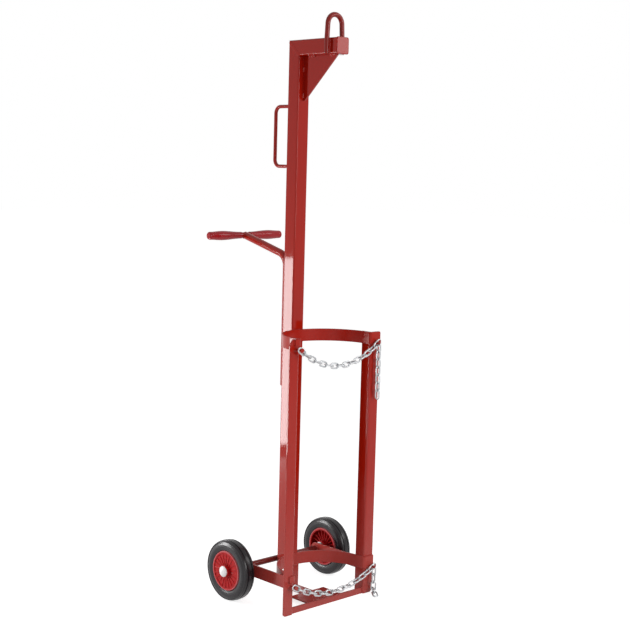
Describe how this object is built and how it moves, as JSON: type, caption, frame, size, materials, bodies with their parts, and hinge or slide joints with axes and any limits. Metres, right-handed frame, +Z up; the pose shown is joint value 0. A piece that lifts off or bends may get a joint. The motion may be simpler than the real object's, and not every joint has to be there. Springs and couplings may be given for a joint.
{
  "type": "gas cylinder trolley",
  "caption": "Tall red steel gas cylinder trolley: rear mast with lifting arm and eye, tee handle, angle-iron cradle with chains, base plate and solid-tyred wheels",
  "frame": {"origin": "on the floor, on the centre plane, under the middle of the front base bar's underside", "axes": "+Z up along the mast, +Y to the back where the wheels and handles are, +X to the right seen from the front; the load stands between the uprights and faces -Y"},
  "size_m": [0.5166, 0.5316, 1.902],
  "materials": {
    "red_paint": "satin red paint over welded mild steel",
    "grip_plastic": "red moulded handle grips",
    "wheel_red": "red moulded wheel centre",
    "tyre_rubber": "dull dark grey solid rubber",
    "zinc_steel": "bright zinc plated steel",
    "chain_zinc": "bright zinc plated chain",
    "cap_white": "white push-on cap",
    "bush_nylon": "natural nylon bush"
  },
  "bodies": {
    "trolley": {"mast": "red_paint", "mast_foot_plate": "red_paint", "lift_arm": "red_paint", "arm_end_plate": "red_paint", "arm_gusset": "red_paint", "lifting_eye": "red_paint", "rear_grab_handle": "red_paint", "handle_stem": "red_paint", "handle_crossbar": "red_paint", "left_grip": "grip_plastic", "right_grip": "grip_plastic", "left_upright": "red_paint", "right_upright": "red_paint", "upper_band": "red_paint", "lower_band": "red_paint", "left_side_rail": "red_paint", "right_side_rail": "red_paint", "base_bar": "red_paint", "base_plate": "red_paint", "axle": "red_paint", "left_axle_spacer": "red_paint", "right_axle_spacer": "red_paint", "left_washer": "zinc_steel", "right_washer": "zinc_steel", "left_hub_cap": "cap_white", "right_hub_cap": "cap_white", "upper_chain_stud": "red_paint", "lower_chain_stud": "red_paint", "upper_chain_hook": "red_paint", "lower_chain_hook": "red_paint"},
    "left_wheel": {"left_tyre": "tyre_rubber", "left_wheel_centre": "wheel_red", "left_wheel_bush": "bush_nylon"},
    "right_wheel": {"right_tyre": "tyre_rubber", "right_wheel_centre": "wheel_red", "right_wheel_bush": "bush_nylon"},
    "upper_chain_span": {"upper_chain": "chain_zinc"},
    "lower_chain_span": {"lower_chain": "chain_zinc"},
    "upper_loose_end": {"upper_chain_tail": "chain_zinc"},
    "lower_loose_end": {"lower_chain_tail": "chain_zinc"}
  },
  "joints": [
    {"name": "left_wheel_spin", "type": "hinge", "parent": "trolley", "child": "left_wheel", "pos_m": [-0.219, 0.2311, 0.1], "axis": [1, 0, 0], "continuous": true},
    {"name": "right_wheel_spin", "type": "hinge", "parent": "trolley", "child": "right_wheel", "pos_m": [0.219, 0.2311, 0.1], "axis": [1, 0, 0], "continuous": true},
    {"name": "upper_chain_swing", "type": "hinge", "parent": "trolley", "child": "upper_chain_span", "pos_m": [0, -0.026, 0.853], "axis": [-1, 0, 0], "range_deg": [0, 22]},
    {"name": "lower_chain_swing", "type": "hinge", "parent": "trolley", "child": "lower_chain_span", "pos_m": [0, -0.026, 0.0951], "axis": [-1, 0, 0], "range_deg": [0, 22]},
    {"name": "upper_tail_swing", "type": "hinge", "parent": "upper_chain_span", "child": "upper_loose_end", "pos_m": [0.181, -0.026, 0.84525], "axis": [-1, 0, 0], "range_deg": [0, 40]},
    {"name": "lower_tail_swing", "type": "hinge", "parent": "lower_chain_span", "child": "lower_loose_end", "pos_m": [0.192, -0.026, 0.08735], "axis": [-1, 0, 0], "range_deg": [0, 40]}
  ]
}
